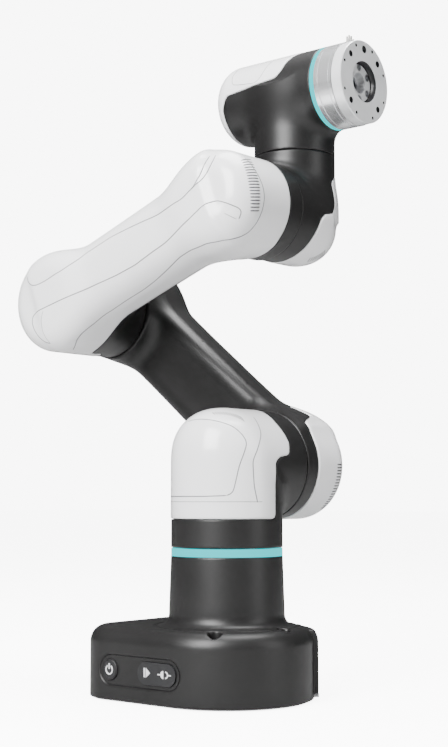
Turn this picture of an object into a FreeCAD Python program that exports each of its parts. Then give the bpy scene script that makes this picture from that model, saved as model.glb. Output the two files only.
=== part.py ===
import FreeCAD, Part
import os, math
os.makedirs("parts", exist_ok=True)
V = FreeCAD.Vector

# ---------------------------------------------------------------- driving dimensions, mm
BASE_R = 61.8            # round front lobe of the base, about the waist axis
BASE_HALF = 61.8         # half width of the base
BASE_REAR = -90.0        # rear end of the base
BASE_CORNER = 25.0       # rear corners in plan
BASE_H = 52.0            # top of the base
BASE_EDGE = 12.0         # top edge rounding
WALL = 3.0
COLUMN_R = 40.0          # waist column and shoulder
COLUMN_FOOT_R = 44.0
RING_Z0, RING_Z1 = 101.1, 106.6
J1_SEAM = 107.0
COVER_Z = 127.3          # lower edge of the white shoulder cover
J2_Z = 166.5             # shoulder axis height
J3_X, J3_Z = -161.0, 297.0
J4_X, J4_Z = 0.0, 357.5
SEAM_Y = 44.0            # inner links end here, outer links start 0.4 further out
SEAM_GAP = 0.4
ARM_Y1 = 97.0            # outer end of the upper arm's barrels
BARREL_R = 40.0
FORE_Y0 = -32.0
FORE_R3, FORE_R4, FORE_TUBE = 39.5, 37.0, 31.0
W1_R, J5_R = 36.0, 31.3
J5_Y = 82.5
J5_SEAM = 405.9
J6_Z = 454.4
TOOL_R = 32.0
W2_X0 = -60.0
RING6_X0, RING6_X1 = 38.0, 41.8
BAND_X1 = 57.6
FLANGE_X0, FLANGE_X1 = 58.0, 66.3
PCD_TOOL, PCD_SMALL = 50.0, 55.5
MOUNT_X, MOUNT_Y, MOUNT_R = (28.0, -76.0), 46.0, 3.3
FRONT_HOLE_X = 51.0


def cyl(r, p, d, h):
    return Part.makeCylinder(r, h, V(*p), V(*d))


def zc(x, y, z0, z1, r):
    return cyl(r, (x, y, z0), (0, 0, 1), z1 - z0)


def yc(x, z, y0, y1, r):
    return cyl(r, (x, y0, z), (0, 1, 0), y1 - y0)


def xc(y, z, x0, x1, r):
    return cyl(r, (x0, y, z), (1, 0, 0), x1 - x0)


def box(x0, x1, y0, y1, z0, z1):
    return Part.makeBox(x1 - x0, y1 - y0, z1 - z0, V(x0, y0, z0))


def tidy(s):
    """Merges split faces where that leaves a sound solid of the same size."""
    try:
        m = s.copy().removeSplitter()
        if m.isValid() and abs(m.Volume - s.Volume) < 1e-4 * abs(s.Volume) + 1e-3:
            return m
    except Exception:
        pass
    return s


def fuse(*s):
    r = s[0]
    for b in s[1:]:
        r = r.fuse(b)
    return tidy(r)


def cut(a, *s):
    for b in s:
        a = a.cut(b)
    return a


def round_end(c, axis, at, r):
    """Rounds the circular edge of a cylinder that lies at the coordinate `at` on `axis`."""
    es = [e for e in c.Edges if len(e.Vertexes) == 1
          and abs(getattr(e.CenterOfMass, axis) - at) < 1e-6 and e.Length > 1]
    return c.makeFillet(r, es)


def extr(P, d):
    """Closed polygon of points, extruded along d, with its faces outward."""
    s = Part.Face(Part.makePolygon(list(P) + [P[0]])).extrude(d)
    if s.Volume < 0:
        s.reverse()
    return s


def prism(pts, axis, a, b):
    """Polygon in the plane across `axis`, extruded from a to b."""
    if axis == "x":
        P = [V(a, u, v) for u, v in pts]
        d = V(b - a, 0, 0)
    elif axis == "y":
        P = [V(u, a, v) for u, v in pts]
        d = V(0, b - a, 0)
    else:
        P = [V(u, v, a) for u, v in pts]
        d = V(0, 0, b - a)
    return extr(P, d)


def solid(s):
    s = tidy(s)
    if s.ShapeType == "Compound" and len(s.Solids) == 1:
        s = s.Solids[0]
    return s


nodes = {}


def put(name, s):
    nodes[name] = solid(s)


# ---------------------------------------------------------------- base
def base_plan(t, z0, z1):
    """Base outline shrunk by t and extruded: a half-round front and a square rear with round corners."""
    r, h, e, c = BASE_R - t, BASE_HALF - t, BASE_REAR + t, BASE_CORNER - t
    x1 = 0.0
    k = math.sqrt(0.5)
    edges = [
        Part.makeLine(V(e + c, -h, z0), V(x1, -h, z0)),
        Part.Arc(V(x1, -h, z0), V(r, 0, z0), V(x1, h, z0)).toShape(),
        Part.makeLine(V(x1, h, z0), V(e + c, h, z0)),
        Part.Arc(V(e + c, h, z0), V(e + c - c * k, h - c + c * k, z0), V(e, h - c, z0)).toShape(),
        Part.makeLine(V(e, h - c, z0), V(e, -h + c, z0)),
        Part.Arc(V(e, -h + c, z0), V(e + c - c * k, -h + c - c * k, z0), V(e + c, -h, z0)).toShape(),
    ]
    return Part.Face(Part.Wire(edges)).extrude(V(0, 0, z1 - z0))


def base_block(t, z0, z1, fillet):
    b = base_plan(t, z0, z1)
    es = [e for e in b.Edges if abs(e.CenterOfMass.z - z1) < 1e-6 and abs(e.BoundBox.ZLength) < 1e-6]
    return b.makeFillet(fillet, es)


column = fuse(
    Part.makeCone(45.0, 41.2, 14, V(0, 0, 50), V(0, 0, 1)),
    Part.makeCone(41.2, COLUMN_R, RING_Z0 - 64, V(0, 0, 64), V(0, 0, 1)),
)
shell_out = fuse(base_block(0, 1.0, BASE_H, BASE_EDGE), column)
cavity = fuse(base_block(WALL, 0, BASE_H - WALL, BASE_EDGE - WALL), zc(0, 0, 40, 97, 36.4))
holes = [(x, s * MOUNT_Y) for x in MOUNT_X for s in (-1, 1)] + [(FRONT_HOLE_X, 0)]
bosses = [zc(x, y, 5.2, 50, 7.0).common(base_block(0.6, 1.0, BASE_H - 0.6, BASE_EDGE - 0.6)) for x, y in holes]
housing = cut(shell_out, cavity)
housing = fuse(housing, *bosses)
for x, y in holes:
    housing = cut(housing, zc(x, y, 0, 60, MOUNT_R), zc(x, y, 12, 60, 4.6))
housing = cut(housing, zc(0, 0, 90, 110, 34.0))
# openings in the button side and the connector side
PANEL_Z = 22.0
PB_X = -55.7
KEY_X = -11.0


def slot_y(x, z, w, h, y0, y1):
    """Racetrack w long along X and h high, extruded along Y."""
    r = h / 2.0
    a = w / 2.0 - r
    return fuse(box(x - a, x + a, y0, y1, z - r, z + r), yc(x - a, z, y0, y1, r), yc(x + a, z, y0, y1, r))


bezel_hole = slot_y(-28, PANEL_Z, 75, 21, -70, -50)
housing = cut(housing, bezel_hole.common(box(-80, 20, -70, -60.3, 0, 50)))
housing = cut(housing, yc(PB_X, PANEL_Z, -70, -50, 8.6), slot_y(KEY_X, PANEL_Z, 38, 18, -70, -50))
IO_X0, IO_X1, IO_Z0, IO_Z1 = -70.0, 10.0, 9.0, 37.0
housing = cut(housing, box(IO_X0, IO_X1, 55, 70, IO_Z0, IO_Z1))
put("base_housing", housing)

plate = base_plan(WALL + 0.3, 0, 5.0)
for x, y in holes:
    plate = cut(plate, zc(x, y, -1, 6, MOUNT_R))
PLATE_SCREWS = [(-70, 0), (-25, -50), (-25, 44), (30, -26), (30, 26)]
for x, y in PLATE_SCREWS:
    plate = cut(plate, zc(x, y, -1, 3.4, 3.2), zc(x, y, -1, 6, 1.7))
put("base_plate", plate)
put("base_plate_screws", Part.makeCompound([fuse(zc(x, y, 0.4, 3.3, 3.0), zc(x, y, 3.2, 8.0, 1.5)) for x, y in PLATE_SCREWS]))
put("base_plate_nuts", Part.makeCompound([cut(zc(x, y, 5.0, 9.0, 3.4), zc(x, y, 4, 10, 1.6)) for x, y in PLATE_SCREWS]))

# button panel, on the -Y side
bezel = slot_y(-28, PANEL_Z, 74.4, 20.4, -61.2, -60.35)
bezel = cut(bezel, yc(PB_X, PANEL_Z, -70, -50, 7.6), slot_y(KEY_X, PANEL_Z, 35.8, 16.0, -70, -50))
put("button_bezel", bezel)
btn = fuse(round_end(yc(PB_X, PANEL_Z, -62.3, -58.0, 7.25), "y", -62.3, 0.6), yc(PB_X, PANEL_Z, -58.1, -56.4, 8.2))
btn = cut(btn, yc(PB_X, PANEL_Z, -62.4, -62.0, 5.6))
btn = fuse(btn, yc(PB_X, PANEL_Z, -62.15, -61.9, 5.5).cut(yc(PB_X, PANEL_Z, -62.3, -61.8, 3.2)).cut(box(PB_X - 1.1, PB_X + 1.1, -63, -61, PANEL_Z, PANEL_Z + 8)))
put("power_button", btn)
key = fuse(slot_y(KEY_X, PANEL_Z, 35.2, 15.4, -62.2, -58.0), slot_y(KEY_X, PANEL_Z, 37.4, 17.4, -58.0, -56.4))
put("mode_key", key)
board = box(-68, 10, -50.6, -49.0, 7.5, 37)
sw = [box(PB_X - 4, PB_X + 4, -54.4, -50.6, PANEL_Z - 4, PANEL_Z + 4)]
for dx in (-9, 9):
    sw.append(box(KEY_X + dx - 3, KEY_X + dx + 3, -54.4, -50.6, PANEL_Z - 3, PANEL_Z + 3))
# notch in the lower edge, round the plate nut below it
put("button_board", cut(fuse(board, *sw), zc(-25, -50, 0, 9.8, 4.4)))
put("button_board_posts", Part.makeCompound([cut(box(x - 2, x + 2, -59.5, -50.6, z - 2, z + 2), housing) for x in (-66, 6.0) for z in (9.5, 35.0)]))

# connector side, +Y: a recessed panel with its sockets
panel = box(IO_X0 + 0.3, IO_X1 - 0.3, 55.6, 58.0, IO_Z0 + 0.3, IO_Z1 - 0.3)
DC_X, NET_X, TERM_X = -60.0, (-42.0, -24.0), -5.0
panel = cut(panel, yc(DC_X, 23, 50, 60, 5.6))
for x in NET_X:
    panel = cut(panel, box(x - 7.6, x + 7.6, 50, 60, 15.8, 29.8))
panel = cut(panel, box(TERM_X - 10.2, TERM_X + 10.2, 50, 60, 14.8, 30.2))
put("connector_panel", panel)
dc = fuse(yc(DC_X, 23, 46, 59.2, 5.5), box(DC_X - 6.5, DC_X + 6.5, 38, 50, 16.5, 29.5))
dc = cut(dc, yc(DC_X, 23, 49, 60, 4.2))
dc = fuse(dc, yc(DC_X, 23, 48.5, 57.5, 1.2))
put("power_inlet", dc)
net = []
for x in NET_X:
    j = box(x - 7.5, x + 7.5, 40, 59.0, 16, 29.6)
    j = cut(j, box(x - 5.9, x + 5.9, 46, 60, 18.0, 25.4), box(x - 3.0, x + 3.0, 46, 60, 25.3, 27.6))
    net.append(j)
put("network_sockets", Part.makeCompound(net))
term = box(TERM_X - 10, TERM_X + 10, 42, 59.0, 15, 30)
for i in range(5):
    for z in (18.8, 26.2):
        term = cut(term, box(TERM_X - 9 + i * 3.8, TERM_X - 9 + i * 3.8 + 2.6, 50, 60, z - 1.6, z + 1.6))
put("io_terminal", term)
ctrl = box(-80, -42, -34, 36, 12, 13.6)
for a in ((-76, -30, 10, 16, 6), (-76, -10, 14, 14, 3), (-58, -30, 12, 12, 9), (-58, 4, 12, 18, 4), (-76, 14, 12, 16, 7)):
    ctrl = fuse(ctrl, box(a[0], a[0] + a[2], a[1], a[1] + a[3], 13.6, 13.6 + a[4]))
put("controller_board", ctrl)
put("controller_posts", Part.makeCompound([zc(x, y, 5.0, 12.0, 2.5) for x in (-77, -45) for y in (-31, 33)]))
conv = box(-78, -46, -30, 30, 26, 40)
for i in range(7):
    conv = fuse(conv, box(-77, -47, -28 + i * 8, -25 + i * 8, 40, 45))
conv = fuse(conv, box(-78, -46, -34, -30, 20, 40), box(-78, -46, 30, 34, 20, 40))
put("power_converter", conv)
put("base_light_ring", cut(zc(0, 0, RING_Z0, RING_Z1, COLUMN_R - 0.1), zc(0, 0, 90, 120, 34.0)))


# ---------------------------------------------------------------- joint drives
def place(s, o, d):
    """Moves a shape built along +Z at the origin so its axis runs along d from o."""
    s = s.copy()
    m = FreeCAD.Placement(V(*o), FreeCAD.Rotation(V(0, 0, 1), V(*d)))
    s.Placement = m.multiply(s.Placement)
    return s


def drive(r, length, o, d, bore=8.0):
    """Frameless motor, strain wave gear and brake in one can, with a hollow shaft along its axis."""
    can = fuse(zc(0, 0, 0, length, r * 0.86), zc(0, 0, length - 12, length, r), zc(0, 0, length * 0.35, length * 0.45, r))
    for i in range(12):
        a = math.radians(30 * i)
        can = cut(can, zc(r * 0.93 * math.cos(a), r * 0.93 * math.sin(a), length * 0.3, length + 1, 1.1))
    can = cut(can, zc(0, 0, -1, length + 1, bore))
    return place(can, o, d)


def rotor(r, length, o, d, bore=8.0):
    """Output flange of a drive: a disc with a bolt circle, on the driven link."""
    s = cut(zc(0, 0, 0, length, r), zc(0, 0, -1, length + 1, bore))
    for i in range(8):
        a = math.radians(45 * i)
        s = cut(s, zc(r * 0.78 * math.cos(a), r * 0.78 * math.sin(a), -1, length * 0.6, 1.5))
    return place(s, o, d)


def encoder(r, o, d, bore=8.0):
    """Ring-shaped circuit board with chips, at the back of a drive."""
    s = fuse(zc(0, 0, 0, 1.6, r), box(bore + 3, bore + 9, -4, 4, -2.4, 0), box(-bore - 9, -bore - 3, -5, 5, -1.6, 0))
    s = cut(s, zc(0, 0, -5, 5, bore + 0.5))
    return place(s, o, d)


put("waist_drive", drive(33.5, 76.0, (0, 0, 20.5), (0, 0, 1)))
put("waist_drive_stand", cut(fuse(zc(0, 0, 5.0, 9.0, 34), zc(0, 0, 5.0, 16.0, 26)), zc(0, 0, 0, 30, 14)))
put("waist_encoder", encoder(27.0, (0, 0, 18.8), (0, 0, 1)))
put("waist_encoder_posts", Part.makeCompound([zc(22 * math.cos(a), 22 * math.sin(a), 16.0, 18.8, 2.0) for a in (0.6, 2.7, 4.8)]))
put("waist_output", rotor(32.5, 9.8, (0, 0, 97.2), (0, 0, 1)))

# ---------------------------------------------------------------- shoulder
def shoulder_solid(t, z0, y1):
    r = COLUMN_R - t
    knee = zc(0, 0, z0, J2_Z + r, r).common(yc(0, J2_Z, -r, y1, r))
    return fuse(knee, zc(0, 0, z0, J2_Z, r), yc(0, J2_Z, 0, y1, r))


COVER_POLY = [(-60, COVER_Z), (6.5, COVER_Z), (6.5, 163), (8, 168), (14, 171.5), (21, 174), (24, 178), (24, 215), (-60, 215)]
sh_out = shoulder_solid(0, J1_SEAM, SEAM_Y)
sh_mid = shoulder_solid(2.0, J1_SEAM, SEAM_Y)
sh_in = shoulder_solid(4.5, J1_SEAM + 3, SEAM_Y - 3)
region = prism(COVER_POLY, "x", -60, 60)
skin = cut(sh_out, sh_mid)
put("shoulder_cover", skin.common(region))
sh = cut(sh_out, sh_in)
sh = cut(sh, skin.common(region), zc(0, 0, 100, 120, 20.0), yc(0, J2_Z, 30, 60, 31.4))
put("shoulder_housing", sh)
put("shoulder_drive", drive(33.0, 58.0, (0, -17.5, J2_Z), (0, 1, 0)))
put("shoulder_encoder", encoder(27.0, (0, -19.2, J2_Z), (0, 1, 0)))
put("shoulder_drive_cradle", cut(fuse(box(-24, 24, 18, 30, 115, 150), box(-30, 30, -26, 34, 112.5, 116)), yc(0, J2_Z, -60, 60, 33.0), zc(0, 0, 100, 130, 12.0)).common(sh_in))
put("shoulder_output", rotor(31.0, 3.9, (0, 44.4, J2_Z), (0, -1, 0)))


# ---------------------------------------------------------------- upper arm
U2 = (J3_X, J3_Z - J2_Z)
A2 = math.hypot(*U2)
U2 = (U2[0] / A2, U2[1] / A2)
N2 = (-U2[1], U2[0])
if N2[1] < 0:
    N2 = (-N2[0], -N2[1])


def link_section(o, u, n, s, half, y0, y1, r):
    """Rounded rectangle across a link at distance s from o: half wide along n, from y0 to y1."""
    c = (o[0] + u[0] * s, o[1] + u[1] * s)

    def P(a, y):
        return V(c[0] + n[0] * a, y, c[1] + n[1] * a)
    k = r * (1 - math.sqrt(0.5))
    h = half
    e = [
        Part.makeLine(P(-h + r, y0), P(h - r, y0)),
        Part.Arc(P(h - r, y0), P(h - k, y0 + k), P(h, y0 + r)).toShape(),
        Part.makeLine(P(h, y0 + r), P(h, y1 - r)),
        Part.Arc(P(h, y1 - r), P(h - k, y1 - k), P(h - r, y1)).toShape(),
        Part.makeLine(P(h - r, y1), P(-h + r, y1)),
        Part.Arc(P(-h + r, y1), P(-h + k, y1 - k), P(-h, y1 - r)).toShape(),
        Part.makeLine(P(-h, y1 - r), P(-h, y0 + r)),
        Part.Arc(P(-h, y0 + r), P(-h + k, y0 + k), P(-h + r, y0)).toShape(),
    ]
    return Part.Wire(e)


def upper_arm_solid(t, y0, y1):
    r = BARREL_R - t
    b = [round_end(yc(x, z, y0, y1, r), "y", y1, 14.0 - t) for x, z in ((0, J2_Z), (J3_X, J3_Z))]
    secs = []
    for s, h in ((4, 37.0), (62, 31.5), (104, 30.5), (146, 31.5), (A2 - 4, 37.0)):
        secs.append(link_section((0, J2_Z), U2, N2, s, h - t, 49.0 + t, 92.0 - t, 15.0 - t))
    beam = Part.makeLoft(secs, True, False)
    return fuse(beam, *b)


UA0 = SEAM_Y + SEAM_GAP
ua_out = upper_arm_solid(0, UA0, ARM_Y1)
ua_in = upper_arm_solid(3.6, UA0 + 3.6, ARM_Y1 - 3.6)
# white end covers over the outer ends of both barrels
caps = {}
for nm, x, z in (("shoulder_end_cover", 0, J2_Z), ("elbow_end_cover", J3_X, J3_Z)):
    full = round_end(yc(x, z, 40, ARM_Y1, BARREL_R), "y", ARM_Y1, 14.0)
    core = round_end(yc(x, z, 30, ARM_Y1 - 2.0, BARREL_R - 2.0), "y", ARM_Y1 - 2.0, 12.0)
    # the cover is cut back where the beam leaves the barrel
    s = 1 if x == 0 else -1
    keep = box(x - 60, x + 60, 58, 110, z - 60, z + 60)
    wedge = extr([
        V(x + N2[0] * a + U2[0] * b, 0, z + N2[1] * a + U2[1] * b)
        for a, b in ((-46, s * 8), (46, s * 8), (46, s * 70), (-46, s * 70))], V(0, 80, 0))
    caps[nm] = full.common(keep.cut(wedge)).cut(core)
ua = cut(ua_out, ua_in, *caps.values())
for x, z in ((0, J2_Z), (J3_X, J3_Z)):
    ua = cut(ua, yc(x, z, 40, 60, 10.0 if x == 0 else 31.4))
put("upper_arm_housing", ua)
for k, v in caps.items():
    put(k, v)
put("elbow_drive", drive(33.0, 40.0, (J3_X, 88.5, J3_Z), (0, -1, 0)))
put("elbow_encoder", encoder(25.0, (J3_X, 90.7, J3_Z), (0, -1, 0)))
put("elbow_output", rotor(31.0, 3.9, (J3_X, 44.0, J3_Z), (0, 1, 0)))
put("shoulder_side_board", fuse(cut(yc(0, J2_Z, 70, 71.6, 30.0), yc(0, J2_Z, 60, 80, 10)), box(-20, -6, 71.6, 78, J2_Z + 8, J2_Z + 20), box(4, 18, 71.6, 76, J2_Z - 22, J2_Z - 10)))
put("shoulder_board_posts", Part.makeCompound([yc(25 * math.cos(a), J2_Z + 25 * math.sin(a), 48.0, 70.0, 3.0) for a in (0.3, 2.4, 4.5)]))

# ---------------------------------------------------------------- forearm
U3 = (J4_X - J3_X, J4_Z - J3_Z)
A3 = math.hypot(*U3)
U3 = (U3[0] / A3, U3[1] / A3)
N3 = (-U3[1], U3[0])


def forearm_solid(t, y1):
    b3 = round_end(yc(J3_X, J3_Z, FORE_Y0 + t, y1, FORE_R3 - t), "y", FORE_Y0 + t, 16.0 - t)
    b4 = round_end(yc(J4_X, J4_Z, FORE_Y0 + 3 + t, y1, FORE_R4 - t), "y", FORE_Y0 + 3 + t, 19.0 - t)
    w = link_section((J3_X, J3_Z), U3, N3, 2.0, FORE_TUBE - t, -27.5 + t, 28.5 - t, 20.0 - t)
    tube = Part.Face(w).extrude(V(U3[0] * (A3 - 4), 0, U3[1] * (A3 - 4)))
    if tube.Volume < 0:
        tube.reverse()
    return fuse(tube, b3, b4)


fo_out = forearm_solid(0, SEAM_Y)
fo_mid = forearm_solid(2.2, SEAM_Y)
fo_in = forearm_solid(4.6, SEAM_Y - 3.5)
fskin = cut(fo_out, fo_mid)
# the white shell covers all but the joint ends and a strip along the underside
freg = box(-220, 60, -60, 27.5, 240, 420)
under = extr([
    V(J3_X + N3[0] * a + U3[0] * b, 12, J3_Z + N3[1] * a + U3[1] * b)
    for a, b in ((-60, 30), (-14, 30), (-14, A3 - 4), (-60, A3 - 4))], V(0, 60, 0))
fcov = fskin.common(freg).cut(under)
put("forearm_cover", fcov)
fo = cut(fo_out, fo_in, fcov)
for x, z, r in ((J3_X, J3_Z, 10.0), (J4_X, J4_Z, 29.4)):
    fo = cut(fo, yc(x, z, 30, 60, r))
put("forearm_housing", fo)
put("wrist_1_drive", drive(30.0, 54.0, (J4_X, -14.0, J4_Z), (0, 1, 0)))
put("wrist_1_encoder", encoder(24.0, (J4_X, -15.7, J4_Z), (0, 1, 0)))
put("wrist_1_output", rotor(29.0, 3.9, (J4_X, SEAM_Y + 0.3, J4_Z), (0, -1, 0)))
put("elbow_board", fuse(cut(yc(J3_X, J3_Z, 0, 1.6, 30.0), yc(J3_X, J3_Z, -5, 5, 10)), box(J3_X - 18, J3_X - 6, -6, 0, J3_Z + 6, J3_Z + 18), box(J3_X + 8, J3_X + 20, -4, 0, J3_Z - 20, J3_Z - 8)))
put("elbow_board_posts", Part.makeCompound([yc(J3_X + 24 * math.cos(a), J3_Z + 24 * math.sin(a), 1.6, 40.5, 3.0) for a in (0.3, 2.4, 4.5)]))

# ---------------------------------------------------------------- wrist 1
W1_Y0 = SEAM_Y + 0.3


def wrist1_solid(t, y0, z1):
    r = W1_R - t
    jr = J5_R - t
    barrel = yc(0, J4_Z, y0, J5_Y + jr, r)
    plan = fuse(zc(0, J5_Y, J4_Z - r - 1, z1, jr), box(-60, 60, 0, J5_Y, J4_Z - r - 1, z1))
    low = barrel.common(plan)
    low = low.common(fuse(zc(0, J5_Y, J4_Z - r - 1, z1, jr + 0.0), yc(0, J4_Z, y0, J5_Y, r)))
    return fuse(low, zc(0, J5_Y, J4_Z, z1, jr))


w1_out = wrist1_solid(0, W1_Y0, J5_SEAM - 0.2)
w1_mid = wrist1_solid(2.0, W1_Y0, J5_SEAM - 0.2)
w1_in = wrist1_solid(4.0, W1_Y0 + 3.5, J5_SEAM - 3.2)
w1skin = cut(w1_out, w1_mid)
W1_POLY = [(66, 300), (66, 340), (69, 348), (76, 353), (86, 357), (91, 363), (91, 389), (130, 389), (130, 300)]
w1reg = prism(W1_POLY, "x", -60, 60)
w1cov = w1skin.common(w1reg)
put("wrist_1_cover", w1cov)
w1 = cut(w1_out, w1_in, w1cov, yc(0, J4_Z, 40, 52, 9.0), zc(0, J5_Y, 398, 410, 26.4))
put("wrist_1_housing", w1)
put("wrist_2_drive", drive(26.0, 56.0, (0, J5_Y, 346.0), (0, 0, 1), 6.5))
put("wrist_2_encoder", encoder(21.0, (0, J5_Y, 344.3), (0, 0, 1), 6.5))
put("wrist_2_output", rotor(25.8, 3.9, (0, J5_Y, J5_SEAM + 0.1), (0, 0, -1), 6.5))
put("wrist_2_drive_mount", cut(fuse(zc(0, J5_Y, 325.8, 334, 15), zc(0, J5_Y, 334, 340.4, 20)), zc(0, J5_Y, 320, 350, 7.0)).common(w1_in))

# ---------------------------------------------------------------- wrist 2, the T-shaped head
def wrist2_solid(t, z0, x1):
    r = TOOL_R - t
    bar = round_end(xc(J5_Y, J6_Z, W2_X0 + t, x1, r), "x", W2_X0 + t, 14.0 - t)
    return fuse(bar, zc(0, J5_Y, z0, J6_Z, J5_R - t))


W2_Z0 = J5_SEAM + 0.1
w2_out = wrist2_solid(0, W2_Z0, RING6_X0)
w2_mid = wrist2_solid(2.0, W2_Z0, RING6_X0)
w2_in = wrist2_solid(4.0, W2_Z0 + 3.2, RING6_X0 - 3.0)
w2skin = cut(w2_out, w2_mid)
W2_POLY = [(-80, 400), (-50, 400), (-50, 440), (-47, 449), (-40, 455), (-12, 457), (-6, 461), (-1, 470), (4, 474), (10, 476), (10, 500), (-80, 500)]
w2reg = prism(W2_POLY, "y", J5_Y - 50, J5_Y + 50)
w2cov = w2skin.common(w2reg)
put("wrist_2_cover", w2cov)
w2 = cut(w2_out, w2_in, w2cov, zc(0, J5_Y, 400, 415, 8.0), xc(J5_Y, J6_Z, 30, 45, 24.0))
put("wrist_2_housing", w2)
put("tool_light_ring", cut(xc(J5_Y, J6_Z, RING6_X0, RING6_X1, TOOL_R), xc(J5_Y, J6_Z, 30, 50, 26.0)))
band = xc(J5_Y, J6_Z, RING6_X1, BAND_X1, TOOL_R)
for x in (45.0, 54.6):
    band = cut(band, cut(xc(J5_Y, J6_Z, x, x + 0.9, TOOL_R + 2), xc(J5_Y, J6_Z, 30, 80, TOOL_R - 0.7)))
band = cut(band, xc(J5_Y, J6_Z, 30, 80, 24.0), cut(xc(J5_Y, J6_Z, RING6_X1 - 1, 52, 28.0), xc(J5_Y, J6_Z, 30, 60, 20)))
pins = []
for i in range(4):
    y = J5_Y - 4.2 + i * 2.8
    pins.append(zc(53.4, y, J6_Z + 30.0, J6_Z + 37.6 + (0.8 if i in (1, 2) else -1.0), 0.7))
put("tool_contact_pins", Part.makeCompound(pins))
put("tool_end_ring", cut(band, *pins))
put("tool_drive", drive(23.6, 84.0, (-48.0, J5_Y, J6_Z), (1, 0, 0), 6.0))
put("tool_encoder", encoder(20.0, (-49.7, J5_Y, J6_Z), (1, 0, 0), 6.0))


# ---------------------------------------------------------------- tool flange
fl = xc(J5_Y, J6_Z, FLANGE_X0, FLANGE_X1, 31.5)
fl = fl.makeChamfer(0.6, [e for e in fl.Edges if len(e.Vertexes) == 1 and abs(e.CenterOfMass.x - FLANGE_X1) < 1e-6])
HUB_X0 = 54.0
fl = fuse(fl, xc(J5_Y, J6_Z, HUB_X0, 58.6, 22.8))


def ring_pt(r, deg):
    a = math.radians(deg)
    return J5_Y + r * math.cos(a), J6_Z + r * math.sin(a)


cuts = [xc(J5_Y, J6_Z, 61.3, 70, 15.75), xc(J5_Y, J6_Z, 50, 70, 8.0)]
for k in range(4):
    y, z = ring_pt(PCD_TOOL / 2, 45 + 90 * k)
    cuts.append(xc(y, z, 59.3, 70, 2.5))
for k in range(8):
    y, z = ring_pt(PCD_SMALL / 2, 22.5 + 45 * k)
    cuts.append(xc(y, z, 61.3, 70, 1.25))
y, z = ring_pt(PCD_TOOL / 2, 90)
cuts.append(xc(y, z, 60.3, 70, 3.0))
SCREW_R = 12.2
out = rotor(22.8, HUB_X0 - 36.6, (36.6, J5_Y, J6_Z), (1, 0, 0), 6.0)
for k in range(6):
    y, z = ring_pt(SCREW_R, 30 + 60 * k)
    cuts += [xc(y, z, 50, 70, 1.6), xc(y, z, 58.8, 70, 2.9)]
    out = cut(out, xc(y, z, 48, 60, 1.6))
put("tool_output", out)
fl = cut(fl, *cuts)
put("tool_flange", fl)
scr = []
for k in range(6):
    y, z = ring_pt(SCREW_R, 30 + 60 * k)
    s = fuse(xc(y, z, 58.8, 61.2, 2.75), xc(y, z, 50.0, 59.0, 1.5))
    hexa = [(y + 1.45 * math.cos(math.radians(60 * i)), z + 1.45 * math.sin(math.radians(60 * i))) for i in range(6)]
    scr.append(cut(s, prism(hexa, "x", 59.9, 66)))
put("flange_screws", Part.makeCompound(scr))

# ---------------------------------------------------------------- write everything out
bad = []
for n, s in nodes.items():
    if not s.isValid() or s.Volume < 1e-3:
        bad.append(n)
    s.exportStep("parts/%s.step" % n)
bb = Part.makeCompound(list(nodes.values())).BoundBox
print("nodes", len(nodes), "bad", bad)
print("box", [round(v, 1) for v in (bb.XMin, bb.XMax, bb.YMin, bb.YMax, bb.ZMin, bb.ZMax)])
for n, s in nodes.items():
    print("%-26s solids %d vol %.1f cm3" % (n, len(s.Solids), s.Volume / 1000))
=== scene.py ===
import bpy
import math
import numpy as np
from mathutils import Matrix, Vector


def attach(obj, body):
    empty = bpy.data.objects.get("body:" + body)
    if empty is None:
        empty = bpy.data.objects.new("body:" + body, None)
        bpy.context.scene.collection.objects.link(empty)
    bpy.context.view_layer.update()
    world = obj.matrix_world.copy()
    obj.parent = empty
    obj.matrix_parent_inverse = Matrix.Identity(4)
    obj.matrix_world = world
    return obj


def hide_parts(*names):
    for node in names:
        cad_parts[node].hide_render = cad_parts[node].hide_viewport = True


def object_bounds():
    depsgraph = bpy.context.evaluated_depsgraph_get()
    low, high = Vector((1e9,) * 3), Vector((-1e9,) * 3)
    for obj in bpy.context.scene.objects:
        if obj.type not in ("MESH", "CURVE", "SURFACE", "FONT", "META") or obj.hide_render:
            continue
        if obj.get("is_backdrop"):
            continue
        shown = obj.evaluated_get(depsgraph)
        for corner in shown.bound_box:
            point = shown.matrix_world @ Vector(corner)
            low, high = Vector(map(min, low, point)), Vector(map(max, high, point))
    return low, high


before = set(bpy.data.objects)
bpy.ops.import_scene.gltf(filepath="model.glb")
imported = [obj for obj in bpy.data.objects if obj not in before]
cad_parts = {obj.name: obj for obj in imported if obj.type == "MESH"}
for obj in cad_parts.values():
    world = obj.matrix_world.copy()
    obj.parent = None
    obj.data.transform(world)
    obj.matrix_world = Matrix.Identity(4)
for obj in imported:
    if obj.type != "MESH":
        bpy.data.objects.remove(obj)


def plain(b):
    if isinstance(b, dict):
        return {str(k): plain(v) for k, v in b.items()}
    if isinstance(b, (int, float, str)):
        return b
    try:
        return [plain(c) for c in b]
    except TypeError:
        return float(b)


cad_box = plain(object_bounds())

# ------------------------------------------------------------------ dimensions, mm, in the row frame
J2Z = 166.5
J3X, J3Z = -161.0, 297.0
J4Z = 357.5
J5Y = 82.5
J5S = 405.9
J6Z = 454.4
A2 = math.hypot(J3X, J3Z - J2Z)
U2 = (J3X / A2, (J3Z - J2Z) / A2)
N2 = (U2[1], -U2[0])
A3 = math.hypot(-J3X, J4Z - J3Z)
U3 = (-J3X / A3, (J4Z - J3Z) / A3)
N3 = (-U3[1], U3[0])


# ------------------------------------------------------------------ distance-field tools
def smin(a, b, k):
    h = np.maximum(k - np.abs(a - b), 0.0) / np.maximum(k, 1e-6)
    return np.minimum(a, b) - h * h * k * 0.25


def smax(a, b, k):
    return -smin(-a, -b, k)


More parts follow.
